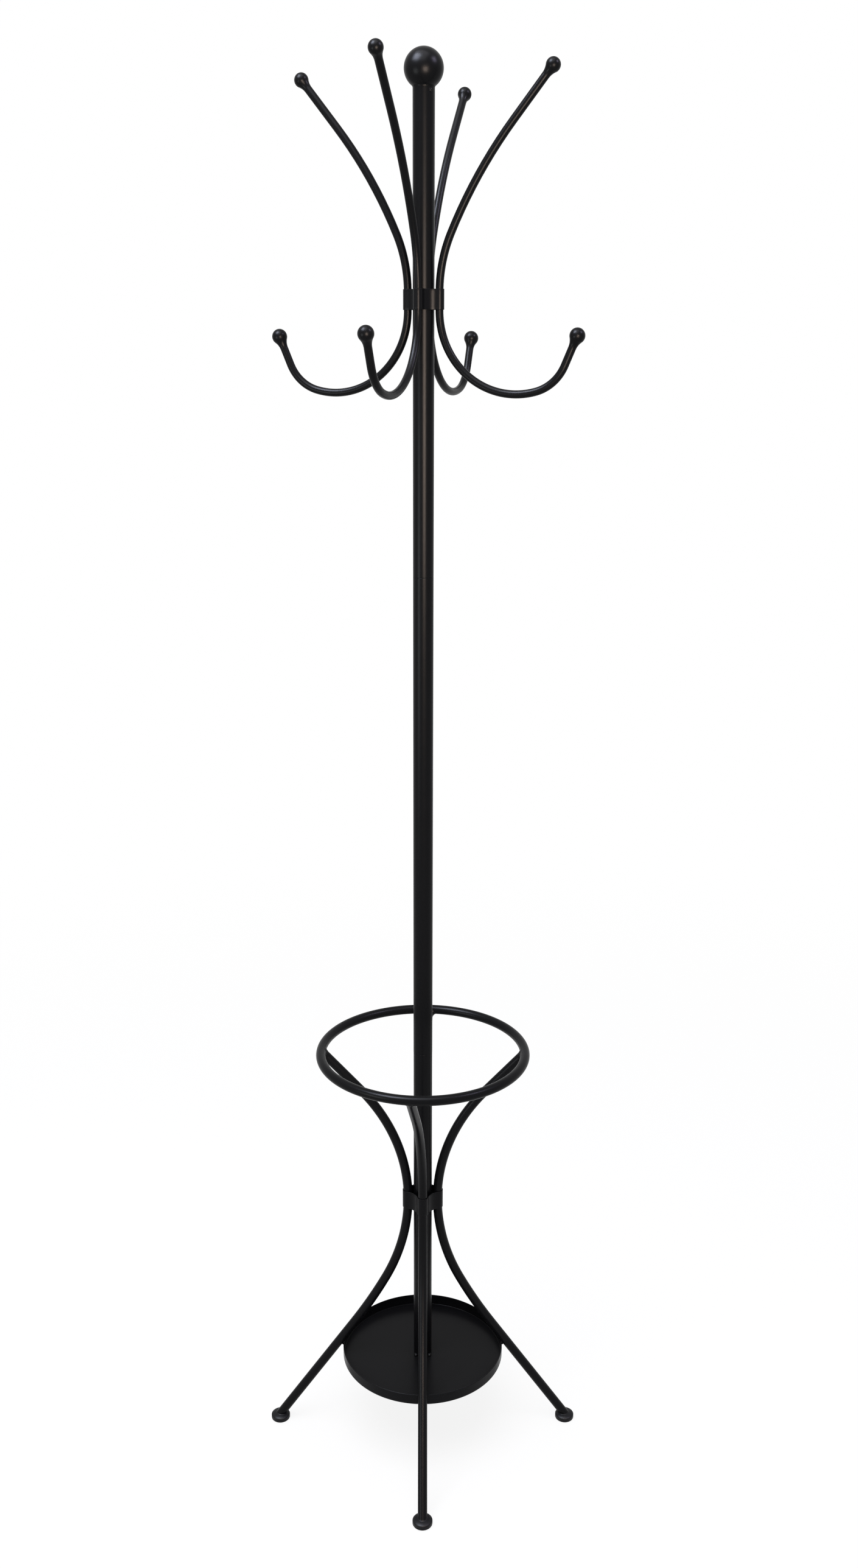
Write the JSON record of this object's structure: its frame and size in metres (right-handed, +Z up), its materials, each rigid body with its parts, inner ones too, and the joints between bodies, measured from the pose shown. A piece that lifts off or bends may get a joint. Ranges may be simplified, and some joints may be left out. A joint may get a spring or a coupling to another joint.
{
  "type": "standing coat rack",
  "caption": "Free-standing steel coat rack: a straight post with ball finial, bent hook rods, a ring for umbrellas on splayed legs and a round drip tray.",
  "frame": {"origin": "on the floor under the post's axis, the centre of the bounding box's base", "axes": "+Z up along the post, -Y towards the front leg, +X towards the right leg"},
  "size_m": [0.446, 0.446, 1.847],
  "materials": {
    "black_powder_coat": "satin powder coat",
    "zinc_plated_steel": "bright zinc",
    "moulded_feet": "semi-gloss moulded"
  },
  "bodies": {
    "base": {"lower_post": "black_powder_coat", "lower_joint_socket": "zinc_plated_steel", "umbrella_ring": "black_powder_coat", "ring_welds": "black_powder_coat", "leg_band": "black_powder_coat", "leg_front": "black_powder_coat", "leg_right": "black_powder_coat", "leg_back": "black_powder_coat", "leg_left": "black_powder_coat", "drip_tray": "black_powder_coat", "tray_welds": "black_powder_coat", "post_base_welds": "black_powder_coat", "foot_front": "moulded_feet", "foot_right": "moulded_feet", "foot_back": "moulded_feet", "foot_left": "moulded_feet"},
    "middle_section": {"middle_post": "black_powder_coat", "lower_joint_stud": "zinc_plated_steel", "upper_joint_socket": "zinc_plated_steel"},
    "top_section": {"upper_post": "black_powder_coat", "upper_joint_stud": "zinc_plated_steel", "finial_ball": "black_powder_coat", "finial_weld": "black_powder_coat", "hook_band": "black_powder_coat", "hook_rod_front": "black_powder_coat", "hook_rod_right": "black_powder_coat", "hook_rod_back": "black_powder_coat", "hook_rod_left": "black_powder_coat", "upper_tip_front": "black_powder_coat", "upper_tip_right": "black_powder_coat", "upper_tip_back": "black_powder_coat", "upper_tip_left": "black_powder_coat", "lower_tip_front": "black_powder_coat", "lower_tip_right": "black_powder_coat", "lower_tip_back": "black_powder_coat", "lower_tip_left": "black_powder_coat"}
  },
  "joints": [
    {"name": "lower_screw_joint", "type": "hinge", "parent": "base", "child": "middle_section", "pos_m": [0, 0, 0.593], "axis": [0, 0, 1], "range_deg": [0, 270]},
    {"name": "upper_screw_joint", "type": "hinge", "parent": "middle_section", "child": "top_section", "pos_m": [0, 0, 1.243], "axis": [0, 0, 1], "range_deg": [0, 270]}
  ]
}
